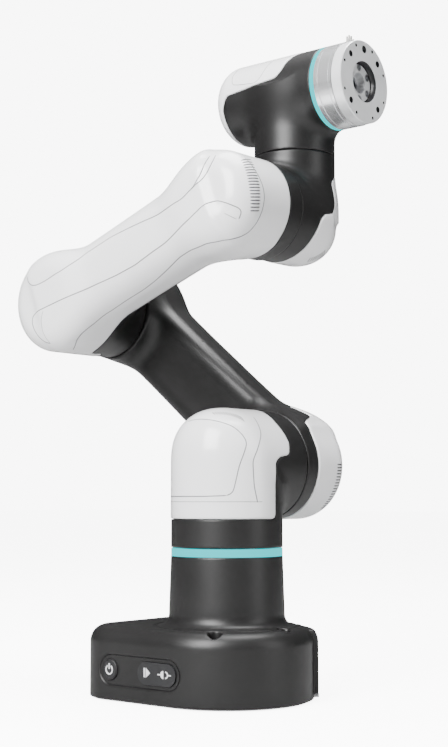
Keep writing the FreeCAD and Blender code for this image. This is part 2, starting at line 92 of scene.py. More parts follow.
def rbox2(a, b, ha, hb, r):
    qa, qb = np.abs(a) - ha + r, np.abs(b) - hb + r
    return np.minimum(np.maximum(qa, qb), 0) + np.hypot(np.maximum(qa, 0), np.maximum(qb, 0)) - r


def rcyl(rad, ax, r, a0, a1, r0, r1):
    """Round bar: rad is the distance from its axis, ax runs along it; the ends a0 and a1 have edge radii r0 and r1."""
    m = 0.5 * (a0 + a1)
    e = np.where(ax < m, r0, r1)
    q = rad - r + e
    w = np.abs(ax - m) - 0.5 * (a1 - a0) + e
    return np.minimum(np.maximum(q, w), 0) + np.hypot(np.maximum(q, 0), np.maximum(w, 0)) - e


def smooth01(t):
    t = np.clip(t, 0, 1)
    return t * t * (3 - 2 * t)


def poly_side(u, v, pts):
    """Signed distance to a closed polygon in the (u, v) plane; negative inside."""
    d = np.full(u.shape, 1e9)
    s = np.ones(u.shape)
    n = len(pts)
    j = n - 1
    for i in range(n):
        ax, ay = pts[i]
        bx, by = pts[j]
        ex, ey = bx - ax, by - ay
        wx, wy = u - ax, v - ay
        t = np.clip((wx * ex + wy * ey) / (ex * ex + ey * ey), 0, 1)
        dx, dy = wx - ex * t, wy - ey * t
        d = np.minimum(d, dx * dx + dy * dy)
        c1, c2, c3 = v >= ay, v < by, ex * wy > ey * wx
        flip = (c1 & c2 & c3) | (~c1 & ~c2 & ~c3)
        s = np.where(flip, -s, s)
        j = i
    return s * np.sqrt(d)


def rounded(pts, r, n=5):
    """The same polygon with its corners rounded by radius r."""
    out = []
    m = len(pts)
    for i in range(m):
        p0, p1, p2 = (np.array(pts[(i + k - 1) % m], float) for k in range(3))
        a, b = p0 - p1, p2 - p1
        la, lb = np.linalg.norm(a), np.linalg.norm(b)
        a, b = a / la, b / lb
        ang = math.acos(max(-1, min(1, float(a @ b))))
        cutl = min(r / max(math.tan(ang / 2), 1e-3), 0.48 * la, 0.48 * lb)
        s, e = p1 + a * cutl, p1 + b * cutl
        for k in range(n + 1):
            t = k / n
            out.append(tuple((1 - t) ** 2 * s + 2 * t * (1 - t) * p1 + t * t * e))
    return out


def mesh_sdf(name, f, lo, hi, h):
    """Closed mesh of f = 0 by surface nets on a grid of pitch h, then pulled onto the surface."""
    lo = np.array(lo, float) - 2 * h
    n = np.ceil((np.array(hi, float) + 2 * h - lo) / h).astype(int) + 1
    xs, ys, zs = (lo[i] + h * np.arange(n[i]) for i in range(3))
    D = np.empty(tuple(n), np.float32)
    Y, Z = np.meshgrid(ys, zs, indexing="ij")
    step = max(1, int(400000 / Y.size))
    for i in range(0, n[0], step):
        x = xs[i:i + step]
        X = x[:, None, None] + 0 * Y[None]
        D[i:i + step] = f(X, Y[None] + 0 * X, Z[None] + 0 * X)
    S = D < 0
    c = S[:-1, :-1, :-1].astype(np.int8)
    tot = np.zeros(c.shape, np.int8)
    for a in (0, 1):
        for b in (0, 1):
            for e in (0, 1):
                tot += S[a:n[0] - 1 + a, b:n[1] - 1 + b, e:n[2] - 1 + e]
    act = (tot > 0) & (tot < 8)
    idx = -np.ones(act.shape, np.int64)
    cells = np.argwhere(act)
    idx[act] = np.arange(len(cells))
    acc = np.zeros((len(cells), 3))
    cnt = np.zeros(len(cells))
    corners = [(a, b, e) for a in (0, 1) for b in (0, 1) for e in (0, 1)]
    for a in corners:
        for ax in range(3):
            if a[ax]:
                continue
            b = list(a)
            b[ax] = 1
            ia = cells + np.array(a)
            ib = cells + np.array(b)
            va = D[ia[:, 0], ia[:, 1], ia[:, 2]].astype(float)
            vb = D[ib[:, 0], ib[:, 1], ib[:, 2]].astype(float)
            m = (va < 0) != (vb < 0)
            t = np.where(m, va / np.where(m, va - vb, 1), 0)
            p = np.array(a, float)[None].repeat(len(cells), 0)
            p[:, ax] += t
            acc[m] += p[m]
            cnt[m] += 1
    V = lo + h * (cells + acc / cnt[:, None])
    faces = []
    for ax in range(3):
        o = [i for i in range(3) if i != ax]
        s0 = [slice(1, -1)] * 3
        s1 = [slice(1, -1)] * 3
        s0[ax] = slice(0, -1)
        s1[ax] = slice(1, None)
        A, B = S[tuple(s0)], S[tuple(s1)]
        for want in (True, False):
            e = np.argwhere((A == want) & (B == (not want)))
            if not len(e):
                continue
            base = e.copy()
            base[:, o[0]] += 1
            base[:, o[1]] += 1
            q = []
            for d0, d1 in ((1, 1), (0, 1), (0, 0), (1, 0)):
                g = base.copy()
                g[:, o[0]] -= d0
                g[:, o[1]] -= d1
                q.append(idx[g[:, 0], g[:, 1], g[:, 2]])
            q = np.stack(q, 1)
            if (ax == 1) == want:
                q = q[:, ::-1]
            faces.append(q)
    F = np.concatenate(faces)
    F = F[(F >= 0).all(1)]
    e = 0.15 * h
    for _ in range(3):
        x, y, z = V.T
        d = f(x, y, z)
        g = np.stack([f(x + e, y, z) - f(x - e, y, z), f(x, y + e, z) - f(x, y - e, z), f(x, y, z + e) - f(x, y, z - e)], 1) / (2 * e)
        gg = np.maximum((g * g).sum(1), 0.25)
        mv = -np.clip(d, -h, h)[:, None] * g / gg[:, None]
        V = V + 0.9 * mv
    return make_mesh(name, V, F)


def make_mesh(name, V, F):
    me = bpy.data.meshes.new(name)
    V = np.asarray(V, float) / 1000.0
    F = np.asarray(F)
    k = F.shape[1]
    me.vertices.add(len(V))
    me.vertices.foreach_set("co", V.astype(np.float32).ravel())
    me.loops.add(F.size)
    me.loops.foreach_set("vertex_index", F.astype(np.int32).ravel())
    me.polygons.add(len(F))
    me.polygons.foreach_set("loop_start", np.arange(0, F.size, k, dtype=np.int32))
    me.polygons.foreach_set("loop_total", np.full(len(F), k, np.int32))
    me.polygons.foreach_set("use_smooth", np.ones(len(F), bool))
    me.update(calc_edges=True)
    me.validate()
    o = bpy.data.objects.new(name, me)
    bpy.context.scene.collection.objects.link(o)
    return o


# ------------------------------------------------------------------ materials
def mat(name, c0, c1, rough, rough_var=0.05, metal=0.0, coat=0.0, scale=30.0, bump=0.0, bump_scale=900.0, emit=None, stretch=None):
    m = bpy.data.materials.new(name)
    m.use_nodes = True
    t = m.node_tree
    b = t.nodes["Principled BSDF"]
    tc = t.nodes.new("ShaderNodeTexCoord")
    mp = t.nodes.new("ShaderNodeMapping")
    if stretch:
        mp.inputs["Scale"].default_value = stretch
    t.links.new(tc.outputs["Object"], mp.inputs["Vector"])
    nz = t.nodes.new("ShaderNodeTexNoise")
    nz.inputs["Scale"].default_value = scale
    nz.inputs["Detail"].default_value = 4.0
    t.links.new(mp.outputs["Vector"], nz.inputs["Vector"])
    r = t.nodes.new("ShaderNodeValToRGB")
    r.color_ramp.elements[0].position = 0.3
    r.color_ramp.elements[1].position = 0.7
    r.color_ramp.elements[0].color = (*c0, 1)
    r.color_ramp.elements[1].color = (*c1, 1)
    t.links.new(nz.outputs["Fac"], r.inputs["Fac"])
    t.links.new(r.outputs["Color"], b.inputs["Base Color"])
    mr = t.nodes.new("ShaderNodeMapRange")
    mr.inputs["To Min"].default_value = max(0.0, rough - rough_var)
    mr.inputs["To Max"].default_value = rough + rough_var
    t.links.new(nz.outputs["Fac"], mr.inputs["Value"])
    t.links.new(mr.outputs["Result"], b.inputs["Roughness"])
    b.inputs["Metallic"].default_value = metal
    b.inputs["Coat Weight"].default_value = coat
    b.inputs["Coat Roughness"].default_value = 0.12
    if bump:
        n2 = t.nodes.new("ShaderNodeTexNoise")
        n2.inputs["Scale"].default_value = bump_scale
        n2.inputs["Detail"].default_value = 2.0
        t.links.new(mp.outputs["Vector"], n2.inputs["Vector"])
        bp = t.nodes.new("ShaderNodeBump")
        bp.inputs["Strength"].default_value = bump
        bp.inputs["Distance"].default_value = 0.0002
        t.links.new(n2.outputs["Fac"], bp.inputs["Height"])
        t.links.new(bp.outputs["Normal"], b.inputs["Normal"])
    if emit:
        b.inputs["Emission Color"].default_value = (*emit[0], 1)
        b.inputs["Emission Strength"].default_value = emit[1]
    return m


BLACK = mat("satin_black", (0.0070, 0.0068, 0.0069), (0.0100, 0.0097, 0.0098), 0.40, 0.03, bump=0.05)
# painted shade: dark lining colour for the inside of the flange holes and the tool recess
HOLE_SHADE = mat("painted_hole_shade", (0.008, 0.008, 0.009), (0.014, 0.014, 0.015), 0.30, 0.04)
WHITE = mat("gloss_white", (0.80, 0.80, 0.81), (0.84, 0.84, 0.85), 0.24, 0.03, coat=0.35, scale=12)
# painted shade: grey strips for the shade in the panel seams and where the surface steps
SEAM_SHADE = mat("painted_seam_shade", (0.15, 0.15, 0.155), (0.20, 0.20, 0.205), 0.5, 0.05)
# painted shade: dark strips for the shade inside the vent slots
VENT_SHADE = mat("painted_vent_shade", (0.07, 0.07, 0.075), (0.11, 0.11, 0.115), 0.6, 0.05)
CYAN = mat("light_guide", (0.0, 0.06, 0.07), (0.0, 0.09, 0.10), 0.4, 0.04, emit=((0.0, 1.0, 1.08), 1.0))
TURNED = mat("turned_aluminium", (0.82, 0.83, 0.84), (0.88, 0.89, 0.90), 0.24, 0.02, metal=0.82, scale=12)
FACE = mat("flange_face_aluminium", (0.80, 0.81, 0.82), (0.87, 0.88, 0.89), 0.34, 0.05, metal=0.4, scale=40)
CAN = mat("machined_can", (0.42, 0.43, 0.45), (0.56, 0.57, 0.59), 0.38, 0.08, metal=1.0, scale=25)
STEEL = mat("screw_steel", (0.45, 0.46, 0.48), (0.60, 0.61, 0.63), 0.3, 0.08, metal=1.0, scale=60)
BOARD = mat("circuit_board", (0.01, 0.10, 0.05), (0.02, 0.17, 0.08), 0.45, 0.08, scale=120)
PLASTIC = mat("matt_black_plastic", (0.008, 0.008, 0.009), (0.013, 0.013, 0.014), 0.44, 0.06, bump=0.1)
GOLD = mat("plated_contact", (0.26, 0.25, 0.23), (0.36, 0.35, 0.32), 0.25, 0.06, metal=1.0, scale=60)
ICON = mat("icon_print", (0.62, 0.62, 0.63), (0.74, 0.74, 0.75), 0.5, 0.05)


BLACK.node_tree.nodes["Principled BSDF"].inputs["Specular IOR Level"].default_value = 0.38
CYAN.node_tree.nodes["Principled BSDF"].inputs["Specular IOR Level"].default_value = 0.1


def paint(o, m):
    o.data.materials.clear()
    o.data.materials.append(m)


for n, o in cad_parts.items():
    if n.endswith("cover"):
        m = WHITE
    elif n.endswith("light_ring"):
        m = CYAN
    elif n.endswith("board") or n.endswith("encoder"):
        m = BOARD
    elif n.endswith("posts") or n.endswith("screws") or n.endswith("nuts"):
        m = STEEL
    elif n == "tool_end_ring":
        m = TURNED
    elif n == "tool_flange":
        m = FACE
    elif n == "tool_contact_pins":
        m = GOLD
    elif n == "button_bezel":
        m = BLACK
    elif n in ("power_button", "mode_key", "connector_panel", "power_inlet", "network_sockets", "io_terminal"):
        m = PLASTIC
    elif n.endswith("housing"):
        m = BLACK
    else:
        m = CAN
    paint(o, m)


# ------------------------------------------------------------------ link shapes
P_DOME = 2.7


def f_shoulder(x, y, z):
    u = np.maximum(-y, 0.0)
    w = np.maximum(z - J2Z, 0.0)
    q = (u ** P_DOME + w ** P_DOME + 1e-9) ** (1 / P_DOME)
    dome = np.hypot(x, q) - 40.0
    Vc = np.hypot(x, y) - 40.0
    H = np.hypot(x, z - J2Z) - 40.0
    k = np.clip(0.5 * np.minimum(y, J2Z - z), 0.0, 7.0)
    d = np.where((y > 0) & (z < J2Z), smin(Vc, H, k), dome)
    d = smax(d, y - 44.0, 1.2)
    return smax(d, 107.1 - z, 0.8)


def f_upper(x, y, z):
    b2 = rcyl(np.hypot(x, z - J2Z), y, 40.0, 44.4, 97.0, 0.7, 15.0)
    b3 = rcyl(np.hypot(x - J3X, z - J3Z), y, 40.0, 44.4, 97.0, 0.7, 15.0)
    s = x * U2[0] + (z - J2Z) * U2[1]
    n = x * N2[0] + (z - J2Z) * N2[1]
    t = np.clip(s / A2, 0, 1) * 2 - 1
    half = 30.5 + 5.5 * t ** 4
    beam = rbox2(n, y - 70.5, half, 21.5, 15.0)
    # long hollow in the inner face, with a ridge left along the upper edge
    c0 = 12.0 * t
    sc = np.hypot(n + 5.0 + c0 * 0.4, (y + 1.0) * 1.0) - 54.0
    fade = 14.0 * smooth01((np.abs(t) - 0.52) / 0.4)
    beam = smax(beam, -(sc + fade), 14.0)
    beam = smax(beam, np.abs(s - A2 / 2) - A2 / 2, 4.0)
    d = smin(smin(beam, b2, 16.0), b3, 16.0)
    return smax(d, 44.4 - y, 1.0)


def f_fore(x, y, z):
    b3 = rcyl(np.hypot(x - J3X, z - J3Z), y, 39.5, -32.0, 44.0, 17.0, 0.7)
    b4 = rcyl(np.hypot(x, z - J4Z), y, 37.0, -28.0, 43.9, 20.0, 0.7)
    s = (x - J3X) * U3[0] + (z - J3Z) * U3[1]
    n = (x - J3X) * N3[0] + (z - J3Z) * N3[1]
    t = np.clip(s / A3, 0, 1) * 2 - 1
    half = 30.0 + 3.5 * t ** 4
    tube = rbox2(n, y - 0.0, half, 28.5, 24.0)
    tube = smax(tube, np.abs(s - A3 / 2) - A3 / 2, 4.0)
    d = smin(smin(tube, b3, 16.0), b4, 18.0)
    return smax(d, y - 44.0, 1.0)


def f_w1(x, y, z):
    u = np.maximum(y - J5Y, 0.0)
    w = np.abs(z - J4Z)
    q = (u ** 2.3 + w ** 2.3 + 1e-9) ** (1 / 2.3)
    r = 36.0 - 4.2 * (u / np.maximum(q, 1e-3)) ** 2
    bar = np.hypot(x, q) - r
    col = np.maximum(np.hypot(x, y - J5Y) - 31.3, J4Z - z)
    d = smin(bar, col, 9.0)
    d = smax(d, 44.3 - y, 1.2)
    return smax(d, z - 405.7, 0.8)


def f_w2(x, y, z):
    bar = rcyl(np.hypot(y - J5Y, z - J6Z), x, 32.0, -60.0, 38.0, 17.0, 0.5)
    col = np.maximum(np.hypot(x, y - J5Y) - 31.3, z - J6Z)
    d = smin(bar, col, 11.0)
    d = smax(d, x - 38.0, 0.6)
    return smax(d, 406.05 - z, 0.8)


HOLES = [(28, -46), (28, 46), (-76, -46), (-76, 46), (51, 0)]


def base_plan(x, y, t=0.0):
    rear = rbox2(x - 5.0, y, 95.0 - t, 61.8 - t, 25.0 - t)
    return np.where(x < 0, rear, np.hypot(x, y) - 61.8 + t)


def f_base(x, y, z):
    d2 = base_plan(x, y)
    a, b = d2 + 12.0, z - 52.0 + 12.0
    d = np.minimum(np.maximum(a, b), 0) + np.hypot(np.maximum(a, 0), np.maximum(b, 0)) - 12.0
    skin = smax(smax(d - 3.3, 0.53 * x - 0.848 * y, 1.5), -62.0 - x, 1.5)
    skin = smax(skin, np.abs(z - 27.0) - 22.5, 2.0)
    d = smin(d, skin, 1.2)
    rad = np.hypot(x, y)
    col = rad - (40.0 + 1.3 * np.clip((101 - z) / 38.0, 0, 1))
    d = smin(d, col, 9.0)
    # groove around the foot of the column
    d = smax(d, -(np.hypot(rad - 51.0, z - 52.0) - 0.8), 0.5)
    d = smax(d, 1.0 - z, 1.0)
    d = np.maximum(d, z - 101.0)
    for hx, hy in HOLES:
        d = smax(d, -np.maximum(np.hypot(x - hx, y - hy) - 4.7, 40.0 - z), 0.8)
    # recess of the button panel
    px, pz = np.abs(x + 28.0) - 27.0, z - 22.0
    track = np.hypot(np.maximum(px, 0), pz) - 10.5
    d = smax(d, -np.maximum(track, y + 60.3), 0.6)
    b1 = np.hypot(x + 55.7, z - 22.0) - 8.6
    b2 = np.hypot(np.maximum(np.abs(x + 11.0) - 10.0, 0), z - 22.0) - 9.0
    d = np.maximum(d, -np.maximum(np.minimum(b1, b2), y + 50.0))
    io = rbox2(x + 30.0, z - 23.0, 40.0, 14.0, 1.0)
    d = np.maximum(d, -np.maximum(io, 50.0 - y))
    cav = np.maximum(np.maximum(base_plan(x, y, 3.2), z - 40.0), -z)
    return np.maximum(d, -cav)


def hollow(f, axis_r, a, a0, a1, r, hole_r, h0, h1):
    """f with the round room of a joint drive cut into it, and its mouth at the seam."""
    d = np.maximum(f, -rcyl(axis_r, a, r, a0, a1, 0.5, 0.5))
    return np.maximum(d, -rcyl(axis_r, a, hole_r, h0, h1, 0.1, 0.1))


# where the white covers lie; each is a polygon swept along one axis
SH_POLY = rounded([(-70, 127.3), (6.3, 127.3), (6.3, 167.5), (12.0, 171.0), (22.5, 172.5), (25.5, 182.0), (23.0, 196), (34, 230), (-70, 230)], 5.0)
W1_POLY = rounded([(57, 300), (63, 325), (66.0, 341), (68.5, 351.5), (73, 356.0), (84.5, 358.0), (87.0, 364), (88.0, 384), (98, 390), (130, 390), (130, 300)], 4.0)
W2_POLY = rounded([(-90, 400), (-48, 400), (-48, 446), (-43, 456.5), (-8, 460.5), (5, 462), (9.5, 468), (11.5, 476), (16, 484), (16, 510), (-90, 510)], 6.0)


def g_sh(x, y, z):
    return poly_side(y, z, SH_POLY)


def g_w1(x, y, z):
    return poly_side(y, z, W1_POLY)


def g_w2(x, y, z):
    return poly_side(x, z, W2_POLY)


def g_fore(x, y, z):
    s = (x - J3X) * U3[0] + (z - J3Z) * U3[1]
    n = (x - J3X) * N3[0] + (z - J3Z) * N3[1]
    d = y - 28.5
    # open strip along the underside, towards the outer side
    cutout = rbox2(s - (A3 - 24.0) / 2, n + 40.0, (A3 - 12.0) / 2, 24.0, 18.0)
    cutout = smax(cutout, 10.0 - y, 8.0)
    return smax(d, -cutout, 8.0)


def g_cap(cx, cz, s, rise, start):
    def g(x, y, z):
        a = (x - cx) * U2[0] + (z - cz) * U2[1]
        b = (x - cx) * N2[0] + (z - cz) * N2[1]
        d = 57.5 - y + rise * smooth01((s * a + 0.35 * b - start) / 12.0)
        return smax(d, s * a - 31.0, 6.0)
    return g


def pair(name, f, g, lo, hi, h, cover, housing, body, carve=None):
    """Black housing and white cover of one link."""
    def fh(x, y, z):
        d, c = f(x, y, z), g(x, y, z)
        s = np.minimum(smax(d, -(c - 0.15), 0.6), d + 3.1)
        return carve(s, x, y, z) if carve else s

    def fc(x, y, z):
        d, c = f(x, y, z), g(x, y, z)
        return smax(smax(d - 0.35, c + 0.15, 1.3), -(d + 3.0), 0.3)
    o = mesh_sdf(name + "_shell", fh, lo, hi, h)
    c = mesh_sdf(name + "_white", fc, lo, hi, h)
    paint(o, BLACK)
    paint(c, WHITE)
    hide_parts(housing)
    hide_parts(*cover)
    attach(o, body)
    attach(c, body)
    return o, c


H = 0.9


def carve_sh(d, x, y, z):
    d = hollow(d, np.hypot(x, z - J2Z), y, -25, 41, 33.6, 31.4, 38, 60)
    return np.maximum(d, -rcyl(np.hypot(x, y), z, 20.0, 100, 130, 0.1, 0.1))


pair("shoulder", f_shoulder, g_sh, (-41, -41, 107), (41, 45, 207), H, ["shoulder_cover"], "shoulder_housing", "shoulder", carve_sh)


def carve_ua(d, x, y, z):
    r3 = np.hypot(x - J3X, z - J3Z)
    d = hollow(d, r3, y, 48, 93.5, 33.6, 31.4, 40, 50)
    return np.maximum(d, -rcyl(np.hypot(x, z - J2Z), y, 31.0, 47.5, 80, 0.5, 0.5))


gc2, gc3 = g_cap(0, J2Z, 1, 18.0, 12.0), g_cap(J3X, J3Z, -1, 36.0, -6.0)


def g_ua(x, y, z):
    return np.where(x > J3X / 2, gc2(x, y, z), gc3(x, y, z))


pair("upper_arm", f_upper, g_ua, (-202, 44, 126), (41, 98, 338), H * 1.1, ["shoulder_end_cover", "elbow_end_cover"], "upper_arm_housing", "upper_arm", carve_ua)


def carve_fo(d, x, y, z):
    d = hollow(d, np.hypot(x, z - J4Z), y, -20, 41, 30.6, 29.4, 38, 60)
    return np.maximum(d, -rcyl(np.hypot(x - J3X, z - J3Z), y, 31.0, -8, 40.5, 0.5, 0.5))


pair("forearm", f_fore, g_fore, (-202, -33, 256), (38, 45, 396), H * 1.1, ["forearm_cover"], "forearm_housing", "forearm", carve_fo)


def carve_w1(d, x, y, z):
    return hollow(d, np.hypot(x, y - J5Y), z, 342, 402.4, 26.8, 26.4, 400, 420)


pair("wrist_1", f_w1, g_w1, (-37, 44, 321), (37, 116, 406), H, ["wrist_1_cover"], "wrist_1_housing", "wrist_1", carve_w1)


def carve_w2(d, x, y, z):
    d = hollow(d, np.hypot(y - J5Y, z - J6Z), x, -52, 36, 24.2, 24.0, 30, 60)
    return d


pair("wrist_2", f_w2, g_w2, (-61, 49, 406), (39, 116, 488), H, ["wrist_2_cover"], "wrist_2_housing", "wrist_2", carve_w2)

bo = mesh_sdf("base_shell", f_base, (-91, -63, 1), (66, 66, 101), H * 1.1)
paint(bo, BLACK)
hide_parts("base_housing")
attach(bo, "base")


# ------------------------------------------------------------------ small surface details
def project(f, P, lift):
    P = np.array(P, float)
    for _ in range(12):
        x, y, z = P.T
        e = 0.2
        d = f(x, y, z)
        g = np.stack([f(x + e, y, z) - f(x - e, y, z), f(x, y + e, z) - f(x, y - e, z), f(x, y, z + e) - f(x, y, z - e)], 1) / (2 * e)
        nn = g / np.maximum(np.linalg.norm(g, axis=1), 1e-6)[:, None]
        P = P - 0.8 * (d - lift)[:, None] * nn
    return P, nn


def resample(P, step):
    P = np.array(P, float)
    seg = np.linalg.norm(np.diff(P, axis=0), axis=1)
    s = np.concatenate([[0], np.cumsum(seg)])
    n = max(2, int(s[-1] / step) + 1)
    t = np.linspace(0, s[-1], n)
    return np.stack([np.interp(t, s, P[:, i]) for i in range(3)], 1)


def smooth_path(P, k=3):
    P = np.array(P, float)
    for _ in range(k):
        Q = P.copy()
        Q[1:-1] = 0.25 * P[:-2] + 0.5 * P[1:-1] + 0.25 * P[2:]
        P = Q
    return P


def ribbons(name, f, paths, width, lift, m, body, step=1.2, smooth=4, ends=True):
    """Narrow strips lying on a surface along paths."""
    Vs, Fs, n0 = [], [], 0
    for p in paths:
        P = smooth_path(resample(p, step), smooth)
        P, nn = project(f, P, lift)
        T = np.gradient(P, axis=0)
        T /= np.maximum(np.linalg.norm(T, axis=1), 1e-6)[:, None]
        B = np.cross(T, nn)
        B /= np.maximum(np.linalg.norm(B, axis=1), 1e-6)[:, None]
        w = np.full(len(P), width / 2.0)
        if ends:
            w[0] = w[-1] = width * 0.15
        rows = []
        for k, dn in ((-1, -0.5), (-0.8, 0.0), (0.8, 0.0), (1, -0.5)):
            rows.append(P + B * (w * k)[:, None] + nn * dn)
        V = np.stack(rows, 1).reshape(-1, 3)
        n = len(P)
        q = []
        for i in range(n - 1):
            for j in range(3):
                a = n0 + i * 4 + j
                q.append((a, a + 1, a + 5, a + 4))
        Vs.append(V)
        Fs += q
        n0 += len(V)
    o = make_mesh(name, np.concatenate(Vs), np.array(Fs))
    paint(o, m)
    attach(o, body)
    return o


def fore_pt(s, n, y):
    return (J3X + U3[0] * s + N3[0] * n, y, J3Z + U3[1] * s + N3[1] * n)


# panel lines of the forearm's inner face, drawn as strips of painted shade along the seams
lines = [
    [(-179.3, -32.5, 316.9), (-176.9, -33.2, 311.8), (-171.6, -34.4, 309.0), (-165.5, -34.7, 308.9), (-156.3, -34.7, 311.2), (-139.3, -33.8, 317.4), (-120.2, -26.7, 329.5), (-92.0, -27.0, 339.4), (-65.7, -28.2, 345.1), (-40.3, -29.5, 349.9), (-15.4, -33.1, 356.7), (-3.0, -33.1, 364.7), (1.3, -31.5, 372.4), (3.1, -28.1, 381.2), (4.3, -24.0, 387.2)],
    [(-5.8, -33.1, 362.7), (2.4, -31.7, 368.1), (6.6, -28.9, 375.0), (8.9, -26.0, 382.4), (8.7, -22.5, 387.5)],
    [(-156.1, -28.3, 262.6), (-161.5, -29.2, 264.0), (-166.6, -31.0, 268.2), (-170.1, -32.1, 273.1), (-173.3, -32.3, 279.7), (-172.7, -32.4, 284.7), (-167.9, -33.2, 287.4), (-155.9, -34.8, 290.3), (-133.9, -34.4, 295.7), (-107.7, -28.1, 304.0), (-87.2, -27.2, 309.0), (-67.0, -26.7, 315.2), (-50.4, -27.1, 322.4), (-36.1, -27.4, 328.1), (-23.8, -30.1, 333.6), (-7.9, -32.9, 341.4), (1.8, -33.1, 347.4), (8.4, -32.0, 351.0), (15.1, -29.0, 352.5), (22.8, -27.1, 349.8), (29.6, -22.0, 346.2), (30.6, -20.1, 344.2), (29.4, -20.0, 341.5), (27.6, -20.0, 338.6)],
    [(-147.3, -12.5, 258.2), (-142.4, -15.1, 260.7), (-136.9, -18.7, 264.7), (-131.6, -19.1, 269.0), (-126.0, -17.1, 273.4), (-121.1, -14.4, 277.2), (-107.0, -11.2, 285.7), (-89.5, -11.7, 292.6), (-73.0, -11.4, 298.7), (-59.7, -12.6, 304.1), (-45.2, -15.1, 310.6), (-30.6, -18.2, 317.6), (-15.7, -21.7, 321.4), (1.6, -24.1, 323.9), (15.9, -21.1, 325.3), (23.4, -12.2, 327.9), (26.9, -7.5, 331.4), (32.1, -4.8, 338.4), (35.6, -3.4, 346.2), (37.3, -2.8, 356.2), (36.9, -3.9, 363.3), (35.0, -6.1, 370.4), (31.5, -8.5, 377.8), (25.0, -9.5, 385.2)],
]
ribbons("forearm_seam_shade_lines", f_fore, lines, 0.95, 0.42, SEAM_SHADE, "forearm", smooth=4)
# painted shade along the small steps of the forearm's surface
faint = [
    [(-158.1, -34.8, 287.7), (-160.9, -34.3, 280.1), (-159.9, -33.3, 272.2), (-158.0, -31.4, 266.7), (-156.1, -28.3, 262.6)],
    [(20.1, -27.2, 343.0), (23.5, -24.6, 340.8), (26.6, -21.1, 338.7)],
]
ribbons("forearm_step_shade_lines", f_fore, faint, 0.5, 0.40, SEAM_SHADE, "forearm", smooth=4)
# forearm vent slots, drawn as dark strips of painted shade
vents = [
    [(25.99, -15.39, 381.79), (24.81, -2.82, 384.89)],
    [(27.48, -15.98, 379.74), (27.4, -4.44, 382.36)],
    [(28.64, -16.25, 377.75), (29.32, -5.36, 380.03)],
    [(29.87, -16.69, 375.67), (31.0, -6.13, 377.73)],
    [(30.79, -16.84, 373.65), (32.3, -6.57, 375.51)],
    [(31.79, -17.16, 371.54), (33.45, -6.93, 373.29)],
    [(32.51, -17.22, 369.46), (34.45, -7.25, 371.06)],
    [(33.12, -17.22, 367.37), (35.12, -7.28, 368.89)],
    [(33.81, -17.4, 365.19), (35.85, -7.52, 366.63)],
    [(34.21, -17.32, 363.04), (36.27, -7.51, 364.43)],
    [(34.52, -17.18, 360.87), (36.56, -7.46, 362.21)],
    [(34.72, -17.0, 358.68), (36.91, -7.61, 359.9)],
    [(34.82, -16.77, 356.45), (36.95, -7.51, 357.64)],
    [(34.81, -16.49, 354.2), (36.86, -7.38, 355.36)],
    [(34.68, -16.14, 351.93), (36.64, -7.2, 353.06)],
    [(34.44, -15.72, 349.63), (36.28, -6.99, 350.75)],
    [(34.06, -15.22, 347.32), (35.77, -6.72, 348.42)],
    [(33.55, -14.64, 344.98), (35.11, -6.38, 346.08)],
]
ribbons("forearm_vent_shade", f_fore, vents, 1.25, 0.45, VENT_SHADE, "forearm", smooth=0)
# shoulder panel lines, drawn as strips of painted shade along the seams
shl = [[(25.4, -31, 143.8), (28.7, -28, 145.4), (29.8, -26.9, 151.5), (31.6, -24.5, 164.7), (34, -21, 175.3), (35, -19.4, 180.7), (33.5, -21.8, 187.7), (28.5, -26, 194.8), (22.6, -31, 198.7), (8, -34, 200), (-12, -34, 199.5)],
       [(25.4, -31, 143.8), (10, -39, 143.2), (-12, -38, 143.2), (-30, -26, 143.2)],
       [(38.0, -12.5, 139), (37.0, -15, 150), (36.5, -16, 168), (38.5, -10, 180), (36, -4, 188), (22, 2, 198)]]
ribbons("shoulder_seam_shade_lines", f_shoulder, shl, 0.9, 0.42, SEAM_SHADE, "shoulder", smooth=6)
# painted shade along the step round the shoulder
ribbons("shoulder_step_shade_line", f_shoulder, [[(40 * math.cos(a), 40 * math.sin(a), 139.5) for a in np.radians(np.linspace(-170, -12, 40))]], 0.5, 0.40, SEAM_SHADE, "shoulder")
# shoulder vent slots, drawn as dark strips of painted shade
vs = [
    [(5.99, -23.31, 202.23), (10.37, -25.14, 200.04)],
    [(7.55, -22.19, 202.43), (11.9, -24.06, 200.11)],
    [(9.03, -21.05, 202.55), (13.38, -22.97, 200.09)],
    [(10.44, -19.9, 202.59), (14.81, -21.88, 199.99)],
    [(11.8, -18.77, 202.55), (16.21, -20.79, 199.8)],
    [(13.12, -17.66, 202.42), (17.58, -19.71, 199.52)],
    [(14.41, -16.59, 202.21), (18.92, -18.65, 199.15)],
    [(15.67, -15.56, 201.92), (20.24, -17.6, 198.69)],
    [(16.92, -14.59, 201.54), (21.54, -16.57, 198.14)],
    [(18.15, -13.68, 201.07), (22.81, -15.57, 197.5)],
    [(19.38, -12.83, 200.52), (24.26, -14.82, 196.76)],
    [(20.79, -12.29, 199.86), (25.5, -13.87, 195.94)],
    [(22.01, -11.58, 199.13), (26.71, -12.94, 195.04)],
]
ribbons("shoulder_vent_shade", f_shoulder, vs, 0.65, 0.45, VENT_SHADE, "shoulder", smooth=0)
# vent slots of the end cover, drawn as dark strips of painted shade
vc = []
for i in range(17):
    a = math.radians(-52 + i * 3.3)
    vc.append([(38 * math.cos(a), y, J2Z + 38 * math.sin(a)) for y in (80.0, 87.0)])
ribbons("end_cover_vent_shade", f_upper, vc, 1.3, 0.45, VENT_SHADE, "upper_arm", smooth=0)
